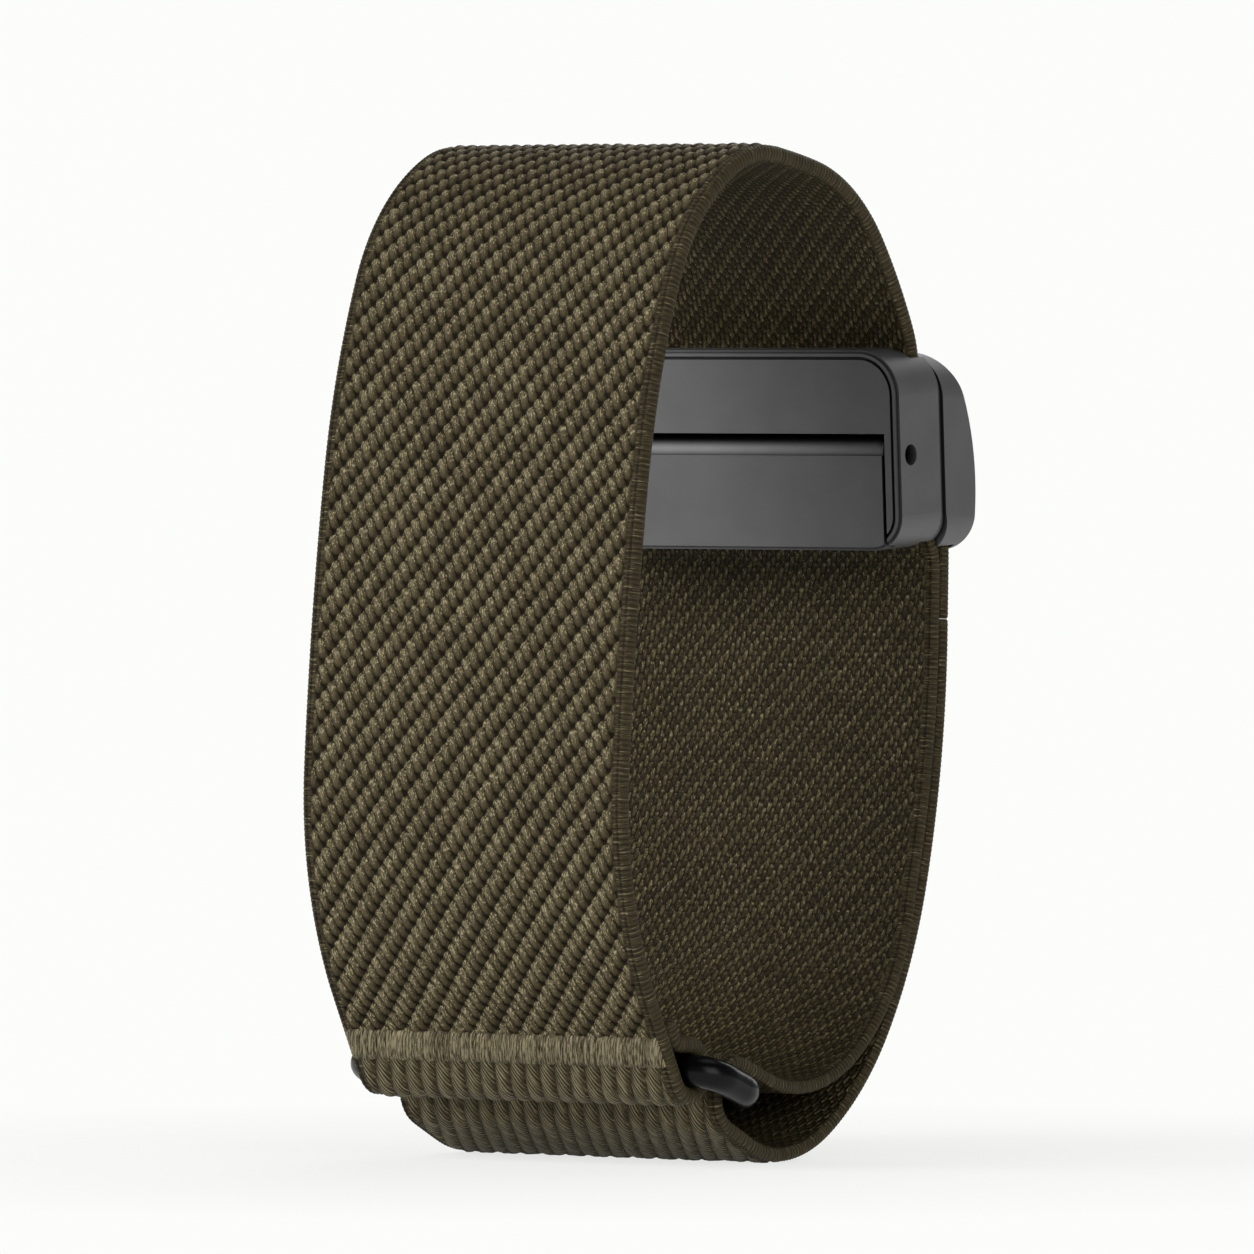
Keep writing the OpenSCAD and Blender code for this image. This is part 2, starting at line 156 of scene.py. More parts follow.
def add(tree, kind, inputs=None, out=0, stops=None, **options):
    """Adds a shader node with its settings, inputs and colour stops, and returns one of its outputs."""
    node = tree.nodes.new("ShaderNode" + kind)
    for key, value in options.items():
        setattr(node, key, value)
    for key, value in (inputs or {}).items():
        if isinstance(value, bpy.types.NodeSocket):
            tree.links.new(value, node.inputs[key])
        else:
            node.inputs[key].default_value = value
    for k, (place, code) in enumerate(stops or ()):
        elements = node.color_ramp.elements
        element = elements[k] if k < len(elements) else elements.new(place)
        element.position = place
        element.color = srgb(code)
    return node.outputs[out]


def new_material(name, **surface):
    """Material with one principled shader. Returns the material, its node tree and the shader node."""
    material = bpy.data.materials.new(name)
    material.use_nodes = True
    tree = material.node_tree
    shader = tree.nodes["Principled BSDF"]
    for key, value in surface.items():
        shader.inputs[key.replace("_", " ")].default_value = value
    return material, tree, shader


# Walks in the Y-Z plane

def towards(angle):
    """Unit vector at an angle in degrees."""
    return np.array([math.cos(math.radians(angle)), math.sin(math.radians(angle))])


def left_of(angle):
    """Unit vector to the left of a heading in degrees."""
    return towards(angle + 90)


def in_clasp(v, u):
    """Point of the clasp, v outward from the seam and u upward from its middle."""
    return CLASP_AT + v * towards(CLASP_TILT) + u * left_of(CLASP_TILT)


def after(pose, step):
    """Pose (point, heading) one step of length and turn further on."""
    point, heading = pose
    length, turn = step
    if abs(turn) < 1e-9:
        return point + length * towards(heading), heading
    radius = length / math.radians(turn)
    return point + radius * (left_of(heading) - left_of(heading + turn)), heading + turn


def walk(pose, steps, spacing=0.1):
    """Points along the steps, about one spacing apart, and the last pose."""
    points = [pose[0]]
    for length, turn in steps:
        count = max(1, round(length / spacing))
        points += [after(pose, (length * k / count, turn * k / count))[0] for k in range(1, count + 1)]
        pose = after(pose, (length, turn))
    return points, pose


def beside(pose, offset):
    """The pose moved to its left by an offset."""
    return pose[0] + offset * left_of(pose[1]), pose[1]


def angle_of(vector):
    """Angle of a vector in degrees."""
    return math.degrees(math.atan2(vector[1], vector[0]))


def touch(point, centre, radius, side):
    """Pose where a straight line from the point touches a circle on its left (1) or right (-1)."""
    d = centre - point
    reach = np.linalg.norm(d)
    heading = angle_of(d) - side * math.degrees(math.asin(radius / reach))
    return point + math.sqrt(reach * reach - radius * radius) * towards(heading), heading


def round_bar(centre, radius, start, end, spacing=0.1):
    """Points on an anticlockwise arc between two angles."""
    end = start + (end - start) % 360
    count = max(2, round(math.radians(end - start) * radius / spacing))
    return [centre + radius * towards(start + (end - start) * k / count) for k in range(count + 1)]


class Line:
    """A smooth curve in the Y-Z plane that is read by arc length, in millimetres."""

    def __init__(self, points, soften=0.3):
        points = np.array(points)
        keep = np.concatenate([[True], np.linalg.norm(np.diff(points, axis=0), axis=1) > 1e-6])
        points = points[keep]
        s = np.concatenate([[0], np.cumsum(np.linalg.norm(np.diff(points, axis=0), axis=1))])
        step = 0.05
        even = np.arange(0, s[-1] + step / 2, step)
        even[-1] = min(even[-1], s[-1])
        y, z = np.interp(even, s, points[:, 0]), np.interp(even, s, points[:, 1])
        if soften:
            reach = int(3 * soften / step)
            weights = np.exp(-0.5 * (np.arange(-reach, reach + 1) * step / soften) ** 2)
            weights /= weights.sum()
            y, z = (self.smooth(v, weights, reach) for v in (y, z))
        self.points = np.stack([y, z], 1)
        self.s = np.concatenate([[0], np.cumsum(np.linalg.norm(np.diff(self.points, axis=0), axis=1))])
        tangent = np.gradient(self.points, axis=0)
        tangent /= np.linalg.norm(tangent, axis=1)[:, None]
        self.normals = np.stack([-tangent[:, 1], tangent[:, 0]], 1)
        self.length = self.s[-1]

    @staticmethod
    def smooth(values, weights, reach):
        """Weighted mean along a row of values, which goes on evenly past its ends."""
        start = 2 * values[0] - values[reach:0:-1]
        end = 2 * values[-1] - values[-2:-reach - 2:-1]
        return np.convolve(np.concatenate([start, values, end]), weights, "valid")

    def at(self, s):
        """Points and left-hand normals at arc lengths s."""
        return (np.stack([np.interp(s, self.s, self.points[:, k]) for k in (0, 1)], 1),
                np.stack([np.interp(s, self.s, self.normals[:, k]) for k in (0, 1)], 1))

    def nearest(self, point, beyond=0):
        """Arc length of the place nearest a point, past an arc length."""
        gap = np.linalg.norm(self.points - np.array(point), axis=1)
        return self.s[np.argmin(np.where(self.s < beyond, np.inf, gap))]


# Weave heights from places across (x) and along (s) the webbing, in millimetres

Twill = namedtuple("Twill", "period step lean half")
# Slanting cords of floats: distance between the cords across the webbing, step from float to float in a cord
# (across and up), lean of the floats in degrees, and half their width and length. The shown face has full
# floats, with short ones in the valleys between its cords. The wrist side has the same thin floats in both
FACE_TWILL = Twill(1.565, (0.427, 0.49), 18, (0.3, 0.64))
VALLEY_TWILL = Twill(1.565, (0.427, 0.49), 18, (0.2, 0.4))
LINING_TWILL = Twill(1.28, (0.38, 0.37), -10, (0.15, 0.38))
# Twisted strands of the ribs, ridges across the webbing's edge, and the beaded border of its face
STRAND_PITCH = 0.33
STRAND_SLOPE = 1.6
RIDGE_PITCH = 0.29
BORDER = 0.36
# Rise of the floats and ribs, length of a cut end's rounding, and the edge's rounding by thickness
FLOAT_RISE = 0.24
RIB_RISE = 0.34
END_ROUND = 0.1
EDGE_BEND = 0.4


def random_of(i, j):
    """Repeatable value from 0 to 1 for whole numbers i and j."""
    value = np.sin(i * 12.9898 + j * 78.233) * 43758.5453
    return value - np.floor(value)


def wrap(value, pitch):
    """Distance from the middle of the cell that holds a value."""
    return value - (np.floor(value / pitch) + 0.5) * pitch


def steps_of(twill):
    """Numbers that place a twill's floats: a float's direction, a cord's slope, and steps across and up."""
    c, n = math.cos(math.radians(twill.lean)), math.sin(math.radians(twill.lean))
    over, up = twill.step
    return c, n, over / up, c * over + n * up, n * over - c * up


def floats(x, s, twill):
    """Height 0..1 of a twill's plump floats."""
    c, n, slope, wide, long = steps_of(twill)
    cord = np.floor((x + slope * s) / twill.period + 0.5) * twill.period
    across = c * (x - cord) - n * s
    column = np.floor(across / wide + 0.5) * wide
    along = n * (x - cord) + c * s - column * long / wide
    reach = ((across - column) / twill.half[0]) ** 2 + (along / twill.half[1]) ** 4
    return np.clip(1 - reach, 0, 1) ** 0.5 * (0.85 + 0.3 * random_of(cord, column))


def face_floats(x, s):
    """Height 0..1 of the shown face: full floats in cords, and low ones in the valleys between them."""
    return np.maximum(floats(x, s, FACE_TWILL), 0.6 * floats(x + FACE_TWILL.period / 2, s, VALLEY_TWILL))


def ribs(x, sizes):
    """Height 0..1 of rope-like ribs that run along the webbing."""
    return np.sqrt(np.clip(1 - (wrap(x, sizes.rib_pitch) / 0.52 / sizes.rib_pitch) ** 2, 0, 1))


def ridges(s):
    """Height 0..1 of the fine ridges across the webbing's edge."""
    return 0.5 + 0.5 * np.cos(2 * np.pi * s / RIDGE_PITCH)


def ease(value, low, high):
    """Smooth step from 0 at low to 1 at high."""
    t = np.clip((value - low) / (high - low), 0, 1)
    return t * t * (3 - 2 * t)


def grid_piece(name, points, ring, attributes, material):
    """Smooth object from a grid of points (rows, columns, 3) in metres. A ring is closed across columns."""
    rows, columns = points.shape[:2]
    index = np.arange(rows * columns).reshape(rows, columns)
    first = index if ring else index[:, :-1]
    beyond = np.roll(index, -1, 1) if ring else index[:, 1:]
    quads = np.stack([first[:-1], beyond[:-1], beyond[1:], first[1:]], -1).reshape(-1, 4)
    mesh = bpy.data.meshes.new(name)
    mesh.from_pydata(points.reshape(-1, 3).tolist(), [], quads.tolist())
    for key, parts in attributes.items():
        values = np.stack([np.broadcast_to(part, (rows, columns)) for part in parts], -1)
        attribute = mesh.attributes.new(key, "FLOAT_VECTOR", "POINT")
        attribute.data.foreach_set("vector", np.ascontiguousarray(values, np.float32).ravel())
    mesh.polygons.foreach_set("use_smooth", [True] * len(mesh.polygons))
    mesh.materials.append(material)
    mesh.update()
    piece = bpy.data.objects.new(name, mesh)
    bpy.context.scene.collection.objects.link(piece)
    return piece


def section(half, bend):
    """Webbing's cross-section, all the way round, from half its width and the size of its rounded edges.
    Returns places across, and levels from 1 on the shown face to -1 on the wrist side."""
    face = np.linspace(half - bend, bend - half, 153)
    back = np.linspace(bend - half, half - bend, 25)
    turn = np.radians(np.linspace(90, -90, 11))[1:-1]
    round_edge = half - bend + bend * np.cos(turn)
    across = np.concatenate([face, -round_edge, back, round_edge])
    level = np.concatenate([np.ones(face.size), np.sin(turn), -np.ones(back.size), -np.sin(turn)])
    return across[None, :], level[None, :]


def webbing(name, line, span, thickness, rib_share, fine_share, open_ends=()):
    """Piece of webbing along a line, between two arc lengths. Its shown face is on the right of the line, and
    rib_share and fine_share give the share of ribs and of the plainer twill on that face from arc length."""
    sizes = settings()[0]
    low, high = span
    rows_per_ridge = 3
    s = np.linspace(low, high, int((high - low) / RIDGE_PITCH * rows_per_ridge) + 1)
    centre, normal = line.at(s)
    half = sizes.webbing_width / 2
    bend = thickness * EDGE_BEND
    x, level = section(half, bend)
    is_edge = (np.abs(level) < 0.999).astype(float)
    is_back = (level < -0.999).astype(float)
    sideways = is_edge * np.sign(x) * np.clip((np.abs(x) - half + bend) / bend, 0, 1)

    # A line of small beads borders the face, between two fine grooves
    along = s[:, None]
    inward = (half - bend - np.abs(x)) * (1 - is_back) * (1 - is_edge)
    border = (inward < BORDER) * (1 - is_back) * (1 - is_edge)
    bead = np.sin(np.pi * np.clip(inward / BORDER, 0, 1)) * border
    edge = np.maximum(is_edge, border)
    rib = rib_share(along) * (1 - edge) * (1 - is_back)
    # The ribs are pulled askew where the webbing bends round the ring
    rib_x = x + 0.5 * (centre[:, 0:1] - FRONT_BAR[0])
    fine = np.maximum(fine_share(along) * (1 - edge), is_back)
    grain = (1 - edge) * (1 - rib) * (1 - fine)
    lift = (grain * FLOAT_RISE * (face_floats(x, along) - 0.6) + rib * RIB_RISE * (ribs(rib_x, sizes) - 0.7)
            - fine * 0.03 + is_edge * 0.03 * (ridges(along) - 0.6)
            + border * (0.12 * bead * (0.4 + 0.6 * ridges(along)) - 0.1))
    # Painted shade: the fine grooves beside the beads are painted darker, through the third value of place
    seam = 1 - 0.8 * border * (1 - bead) ** 2
    end = np.ones(s.size)
    if "start" not in open_ends:
        end = np.minimum(end, np.clip((s - low) / END_ROUND, 0, 1))
    if "end" not in open_ends:
        end = np.minimum(end, np.clip((high - s) / END_ROUND, 0, 1))
    round_off = np.sqrt(1 - (1 - end) ** 2)[:, None]
    out = (level * thickness / 2 + level * lift) * round_off
    wide = (x + sideways * lift) * np.ones_like(out)
    points = np.stack([wide, centre[:, 0:1] - normal[:, 0:1] * out,
                       centre[:, 1:2] - normal[:, 1:2] * out], -1)
    # The third value of place carries the painted shade of the border's grooves
    place = (np.where(is_back > 0, -x, x), along, seam)
    attributes = {"place": place, "shares": (rib, fine, edge), "rope": (rib_x, along, 0)}
    return grid_piece(name, points * MM, True, attributes, webbing_material())


# Materials

def float_nodes(tree, place, twill):
    """The same twill in shader nodes. Returns the place in the float as a vector (across, along), the height
    0..1 and the float's own cell."""
    c, n, slope, wide, long = steps_of(twill)
    cord = add(tree, "VectorMath", {0: place, 1: (1, slope, 0)}, out=1, operation="DOT_PRODUCT")
    cord = add(tree, "Math", {0: cord, 1: twill.period / 2}, operation="ADD")
    cord = add(tree, "Math", {0: cord, 1: twill.period}, operation="SNAP")
    across = add(tree, "VectorMath", {0: place, 1: (c, -n, 0)}, out=1, operation="DOT_PRODUCT")
    across = add(tree, "Math", {0: cord, 1: -c, 2: across}, operation="MULTIPLY_ADD")
    column = add(tree, "Math", {0: across, 1: wide / 2}, operation="ADD")
    column = add(tree, "Math", {0: column, 1: wide}, operation="SNAP")
    across = add(tree, "Math", {0: across, 1: column}, operation="SUBTRACT")
    along = add(tree, "VectorMath", {0: place, 1: (n, c, 0)}, out=1, operation="DOT_PRODUCT")
    along = add(tree, "Math", {0: cord, 1: -n, 2: along}, operation="MULTIPLY_ADD")
    along = add(tree, "Math", {0: column, 1: -long / wide, 2: along}, operation="MULTIPLY_ADD")
    inside = add(tree, "CombineXYZ", {0: across, 1: along})
    cell = add(tree, "CombineXYZ", {0: cord, 1: column})
    narrow = add(tree, "Math", {0: across, 1: 1 / twill.half[0]}, operation="MULTIPLY")
    narrow = add(tree, "Math", {0: narrow, 1: narrow}, operation="MULTIPLY")
    tall = add(tree, "Math", {0: along, 1: 1 / twill.half[1]}, operation="MULTIPLY")
    tall = add(tree, "Math", {0: tall, 1: tall}, operation="MULTIPLY")
    reach = add(tree, "Math", {0: tall, 1: tall, 2: narrow}, operation="MULTIPLY_ADD")
    reach = add(tree, "Math", {0: 1.0, 1: reach}, operation="SUBTRACT", use_clamp=True)
    return inside, add(tree, "Math", {0: reach, 1: 0.6}, operation="POWER"), cell


def lining_nodes(tree, place):
    """Thin floats of the wrist side in shader nodes, in cords and, half as high, between them. Returns the
    same three as float_nodes."""
    inside, height, cell = float_nodes(tree, place, LINING_TWILL)
    shifted = add(tree, "VectorMath", {0: place, 1: (LINING_TWILL.period / 2, 0, 0)}, operation="ADD")
    low_inside, low, low_cell = float_nodes(tree, shifted, LINING_TWILL)
    low = add(tree, "Math", {0: low, 1: 0.5}, operation="MULTIPLY")
    below = add(tree, "Math", {0: low, 1: height}, operation="GREATER_THAN")
    inside = add(tree, "Mix", {0: below, 4: inside, 5: low_inside}, out=1, data_type="VECTOR")
    cell = add(tree, "Mix", {0: below, 4: cell, 5: low_cell}, out=1, data_type="VECTOR")
    return inside, add(tree, "Math", {0: height, 1: low}, operation="MAXIMUM"), cell


def rope_nodes(tree, s, pitch):
    """Ribs in shader nodes, twisted like rope from thin strands. Returns the place in the strand and the
    height."""
    place = add(tree, "Attribute", attribute_name="rope", out=1)
    x = add(tree, "SeparateXYZ", {0: place}, out=0)
    cell = add(tree, "Math", {0: x, 1: pitch}, operation="SNAP")
    across = add(tree, "Math", {0: x, 1: cell}, operation="SUBTRACT")
    across = add(tree, "Math", {0: across, 1: pitch / 2}, operation="SUBTRACT")
    rope = add(tree, "Math", {0: across, 1: across}, operation="MULTIPLY")
    rope = add(tree, "Math", {0: rope, 1: -3.8 / pitch ** 2, 2: 1.0}, operation="MULTIPLY_ADD",
               use_clamp=True)
    strand = add(tree, "Math", {0: across, 1: -STRAND_SLOPE, 2: s}, operation="MULTIPLY_ADD")
    inside = add(tree, "CombineXYZ", {0: strand, 2: x})
    strand = add(tree, "Math", {0: strand, 1: 2 * math.pi / STRAND_PITCH}, operation="MULTIPLY")
    strand = add(tree, "Math", {0: strand}, operation="COSINE")
    strand = add(tree, "Math", {0: strand, 1: 0.6, 2: 0.65}, operation="MULTIPLY_ADD")
    return inside, add(tree, "Math", {0: rope, 1: strand}, operation="MULTIPLY")


def woven_nylon(name, deep, mid, light, sizes):
    """Nylon webbing, woven from shiny multifilament yarn: each float is plump, with bright fibre streaks near
    its top that are painted glints, and painted shade makes the gaps between the floats almost black. The
    wrist side has thinner, duller floats."""
    material, tree, shader = new_material(name, Roughness=0.6, Specular_IOR_Level=0.15)
    place = add(tree, "Attribute", attribute_name="place", out=1)
    shares = add(tree, "Attribute", attribute_name="shares", out=1)
    x = add(tree, "SeparateXYZ", {0: place}, out=0)
    s = add(tree, "SeparateXYZ", {0: place}, out=1)
    inside, height, cell = float_nodes(tree, place, FACE_TWILL)
    shifted = add(tree, "VectorMath", {0: place, 1: (FACE_TWILL.period / 2, 0, 0)}, operation="ADD")
    low = float_nodes(tree, shifted, VALLEY_TWILL)[1]
    low = add(tree, "Math", {0: low, 1: 0.75}, operation="MULTIPLY")
    height = add(tree, "Math", {0: height, 1: low}, operation="MAXIMUM")
    lining_inside, lining, lining_cell = lining_nodes(tree, place)
    strand_inside, rope = rope_nodes(tree, s, sizes.rib_pitch)

    # Ridges across the edge
    ridge = add(tree, "Math", {0: s, 1: 2 * math.pi / RIDGE_PITCH}, operation="MULTIPLY")
    ridge = add(tree, "Math", {0: ridge}, operation="COSINE")
    ridge = add(tree, "Math", {0: ridge, 1: 0.15, 2: 0.47}, operation="MULTIPLY_ADD")

    rib = add(tree, "SeparateXYZ", {0: shares}, out=0)
    fine = add(tree, "SeparateXYZ", {0: shares}, out=1)
    edge = add(tree, "SeparateXYZ", {0: shares}, out=2)
    height = add(tree, "Mix", {0: rib, 2: height, 3: rope})
    height = add(tree, "Mix", {0: fine, 2: height, 3: lining})
    height = add(tree, "Mix", {0: edge, 2: height, 3: ridge})

    # Fibres run along each float or strand, and every float has its own. They are 0.08 mm apart, coarser than
    # real ones so that they show
    inside = add(tree, "Mix", {0: fine, 4: inside, 5: lining_inside}, out=1, data_type="VECTOR")
    cell = add(tree, "Mix", {0: fine, 4: cell, 5: lining_cell}, out=1, data_type="VECTOR")
    inside = add(tree, "Mix", {0: rib, 4: inside, 5: strand_inside}, out=1, data_type="VECTOR")
    edge_inside = add(tree, "CombineXYZ", {0: s, 2: x})
    inside = add(tree, "Mix", {0: edge, 4: inside, 5: edge_inside}, out=1, data_type="VECTOR")
    plain = add(tree, "Math", {0: rib, 1: edge}, operation="MAXIMUM")
    cell = add(tree, "Mix", {0: plain, 4: cell, 5: (0, 0, 0)}, out=1, data_type="VECTOR")
    random = add(tree, "TexWhiteNoise", {"Vector": cell})
    fibre_place = add(tree, "VectorMath", {0: inside, 1: (12.0, 4.5, 1.0)}, operation="MULTIPLY")
    fibre_place = add(tree, "VectorMath", {0: cell, 1: (9.0, 9.0, 9.0), 2: fibre_place},
                      operation="MULTIPLY_ADD")
    fibre = add(tree, "TexNoise", {"Vector": fibre_place, "Scale": 1.0, "Detail": 4.0, "Roughness": 0.72})
    # Faint patches of about 3 mm, as in cloth that has been handled
    cloud = add(tree, "TexNoise", {"Vector": place, "Scale": 0.35, "Detail": 3.0})

    # Painted highlight: the fibre streaks are painted glints, brightest on the upper half of a float, where
    # the light falls from above, and at full strength all along the ribs
    down = add(tree, "SeparateXYZ", {0: inside}, out=1)
    painted_top_highlight = add(tree, "MapRange", {0: down, 1: -0.4, 2: 0.4, 3: 1.0, 4: 0.1})
    painted_rib_highlight = add(tree, "Math", {0: rib, 1: 0.95}, operation="MULTIPLY")
    painted_top_highlight = add(tree, "Math", {0: painted_top_highlight, 1: painted_rib_highlight}, operation="MAXIMUM")
    streak = add(tree, "Math", {0: fibre, 1: 8.5, 2: -4.45}, operation="MULTIPLY_ADD", use_clamp=True)
    streak = add(tree, "Math", {0: streak, 1: painted_top_highlight, 2: -0.12}, operation="MULTIPLY_ADD")

    # The tone goes from the gaps between the floats (0) to the brightest fibres (1). It falls with the height
    # of the floats, ropes and ridges, so painted shade darkens their gaps and hollows almost to black
    # Painted shade: the fine grooves beside the border's beads are painted darker
    seam = add(tree, "SeparateXYZ", {0: place}, out=2)
    shown = add(tree, "Math", {0: height, 1: seam}, operation="MULTIPLY")
    tone = add(tree, "Math", {0: shown, 1: 0.52, 2: streak}, operation="MULTIPLY_ADD")
    tone = add(tree, "Math", {0: random, 1: 0.12, 2: tone}, operation="MULTIPLY_ADD")
    tone = add(tree, "Math", {0: cloud, 1: 0.12, 2: tone}, operation="MULTIPLY_ADD")
    # Painted shade: each float is painted darker towards its lower end, away from the light
    tone = add(tree, "Math", {0: down, 1: -0.3, 2: tone}, operation="MULTIPLY_ADD")
    tone = add(tree, "Math", {0: rib, 1: 0.17, 2: tone}, operation="MULTIPLY_ADD")
    bright = add(tree, "ValToRGB", {0: tone}, stops=[(0.1, deep), (0.55, mid), (1.0, light)])
    dull = add(tree, "HueSaturation", {"Value": 0.74, "Saturation": 1.12, "Color": bright})
    colour = add(tree, "Mix", {0: fine, 6: bright, 7: dull}, out=2, data_type="RGBA")
    tree.links.new(colour, shader.inputs["Base Color"])
    relief = add(tree, "Math", {0: fibre, 1: 0.8, 2: height}, operation="MULTIPLY_ADD")
    bump = add(tree, "Bump", {"Height": relief, "Strength": 0.8, "Distance": 0.00016})
    tree.links.new(bump, shader.inputs["Normal"])
    return material


def nylon_thread(name, deep, mid, light, pitch, slant):
    """Nylon sewing thread: shiny strands side by side, with painted shade as dark lines between them, and
    painted shading that is lighter along the bar's crown and darker down its sides.
    """
    material, tree, shader = new_material(name, Roughness=0.55, Specular_IOR_Level=0.2)
    place = add(tree, "Attribute", attribute_name="place", out=1)
    x = add(tree, "SeparateXYZ", {0: place}, out=0)
    y = add(tree, "SeparateXYZ", {0: place}, out=1)
    level = add(tree, "SeparateXYZ", {0: place}, out=2)
    strand = add(tree, "Math", {0: y, 1: slant, 2: x}, operation="MULTIPLY_ADD")
    strand_cell = add(tree, "Math", {0: strand, 1: pitch}, operation="SNAP")
    random = add(tree, "TexWhiteNoise", {"W": strand_cell}, noise_dimensions="1D")
    groove = add(tree, "Math", {0: strand, 1: math.pi / pitch}, operation="MULTIPLY")
    groove = add(tree, "Math", {0: groove}, operation="SINE")
    groove = add(tree, "Math", {0: groove}, operation="ABSOLUTE")
    groove = add(tree, "Math", {0: groove, 1: 0.5}, operation="POWER")
    # Fibres are 0.07 mm apart, coarser than real ones so that they show
    fibre_place = add(tree, "CombineXYZ", {0: strand, 1: y})
    fibre_place = add(tree, "VectorMath", {0: fibre_place, 1: (14.0, 1.4, 1.0)}, operation="MULTIPLY")
    fibre = add(tree, "TexNoise", {"Vector": fibre_place, "Scale": 1.0, "Detail": 3.0, "Roughness": 0.65})
    streak = add(tree, "Math", {0: fibre, 1: 3.6, 2: -1.85}, operation="MULTIPLY_ADD")
    # Painted shade: the lines between the strands are painted darker
    tone = add(tree, "Math", {0: groove, 1: 0.3, 2: streak}, operation="MULTIPLY_ADD")
    # Painted shading: the bar is painted lighter along its crown and darker down its sides, as light falls on
    # a rounded bar
    tone = add(tree, "Math", {0: level, 1: 0.35, 2: tone}, operation="MULTIPLY_ADD")
    tone = add(tree, "Math", {0: random, 1: 0.4, 2: tone}, operation="MULTIPLY_ADD")
    colour = add(tree, "ValToRGB", {0: tone}, stops=[(0.05, deep), (0.55, mid), (1.0, light)])
    tree.links.new(colour, shader.inputs["Base Color"])
    relief = add(tree, "Math", {0: fibre, 1: 0.6, 2: groove}, operation="MULTIPLY_ADD")
    bump = add(tree, "Bump", {"Height": relief, "Strength": 0.6, "Distance": 0.0001})
    tree.links.new(bump, shader.inputs["Normal"])
    return material


def coated_steel(name, colour, roughness, grain, metallic=0.85, gloss=0.5):
    """Bead-blasted steel under a thin coating: a soft, even satin with a very fine grain. Narrow gaps are
    painted almost black by ambient occlusion, as painted shade."""
    material, tree, shader = new_material(name, Metallic=metallic, Specular_IOR_Level=gloss)
    place = add(tree, "TexCoord", out=3)
    # Grain of the blasting is 0.05 mm
    fine = add(tree, "TexNoise", {"Vector": place, "Scale": 20000.0, "Detail": 2.0})
    cloud = add(tree, "TexNoise", {"Vector": place, "Scale": 400.0, "Detail": 3.0})
    rough = add(tree, "MapRange", {0: fine, 3: roughness - 0.05, 4: roughness + 0.07})
    tree.links.new(rough, shader.inputs["Roughness"])
    shade = add(tree, "MapRange", {0: cloud, 1: 0.3, 2: 0.7, 3: 0.92, 4: 1.06})
    # Painted shade: narrow gaps and hollows are painted darker, down to almost black, by ambient occlusion
    gap = add(tree, "AmbientOcclusion", {"Distance": 0.0008}, out=1, samples=8)
    gap = add(tree, "MapRange", {0: gap, 1: 0.45, 2: 0.95, 3: 0.02, 4: 1.0})
    shade = add(tree, "Math", {0: shade, 1: gap}, operation="MULTIPLY")
    tinted = add(tree, "VectorMath", {0: srgb(colour)[:3], 3: shade}, operation="SCALE")
    tree.links.new(tinted, shader.inputs["Base Color"])
    bump = add(tree, "Bump", {"Height": fine, "Strength": grain, "Distance": 0.00001})
    tree.links.new(bump, shader.inputs["Normal"])
    return material


def pile(name, colour):
    """Hook and loop fastener: a dark, matte pile of fine nylon loops, paler at the tips of its tufts."""
    material, tree, shader = new_material(name, Roughness=0.9, Sheen_Weight=0.3, Sheen_Roughness=0.6)
    place = add(tree, "Attribute", attribute_name="place", out=1)
    tuft = add(tree, "SeparateXYZ", {0: place}, out=2)
    # Loops of the pile are 0.11 mm apart, coarser than real ones so that they show
    loop = add(tree, "TexVoronoi", {"Vector": place, "Scale": 9.0})
    # Painted shade: the pile is painted darker down between its loops and tufts, and paler at the tufts' tips
    tone = add(tree, "Math", {0: loop, 1: -0.5, 2: tuft}, operation="MULTIPLY_ADD")
    shade = add(tree, "ValToRGB", {0: tone}, stops=[(0.0, "#0c0b08"), (0.4, colour), (1.0, "#4a4436")])
    tree.links.new(shade, shader.inputs["Base Color"])
    bump = add(tree, "Bump", {"Height": tone, "Strength": 0.7, "Distance": 0.0001})
    tree.links.new(bump, shader.inputs["Normal"])
    return material


def settings():
    """Sizes and colours that the panel shows."""
    scene = bpy.context.scene
    return scene.band_sizes, scene.band_colours


def shared(make, name, *values):
    """A material made once and then shared."""
    return bpy.data.materials.get(name) or make(name, *values)


def webbing_material():
    """Material of all the webbing, in the chosen colours."""
    sizes, colours = settings()
    return shared(woven_nylon, "woven nylon webbing", colours.webbing_deep, colours.webbing_mid,
                  colours.webbing_light, sizes)


def thread_material(pitch, slant):
    """Material of the dense satin stitches, or of the plain rows with their longer stitches."""
    name = "satin-stitched nylon thread" if pitch < 0.4 else "lock-stitched nylon thread"
    # The deep colour gives the painted shade between the strands and down the bar's sides
    return shared(nylon_thread, name, "#241c0d", "#574e38", "#9c9274", pitch, slant)


def coat(names, material):
    """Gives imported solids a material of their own."""
    for name in names:
        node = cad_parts[name]
        node.data.materials.clear()
        node.data.materials.append(material)


# Lines of the webbing

def main_line(sizes):
    """Main strap: from its clamped end over the top and down the front, round the ring and back to the seam.
    Returns the line and the pose where the fold begins."""
    t = sizes.webbing_thickness
    fold = sizes.wire / 2 + FOLD_SLACK + t / 2
    clamped = in_clasp(CLAMPED_END[0] - t / 2, CLAMPED_END[1])
    points, pose = walk((clamped, 90 + CLASP_TILT), MAIN_STEPS)
    fold_in = touch(pose[0], FRONT_BAR, fold, 1)
    seam = beside(after(fold_in, (-FOLD_RUN, 0)), 0.95 * t)
    fold_out = touch(seam[0], FRONT_BAR, fold, -1)
    points += [fold_in[0]]
    points += round_bar(FRONT_BAR, fold, fold_in[1] - 90, angle_of(fold_out[0] - FRONT_BAR))
    points += [seam[0], after(seam, (-SEAM, 0))[0]]
    return Line(points), fold_in


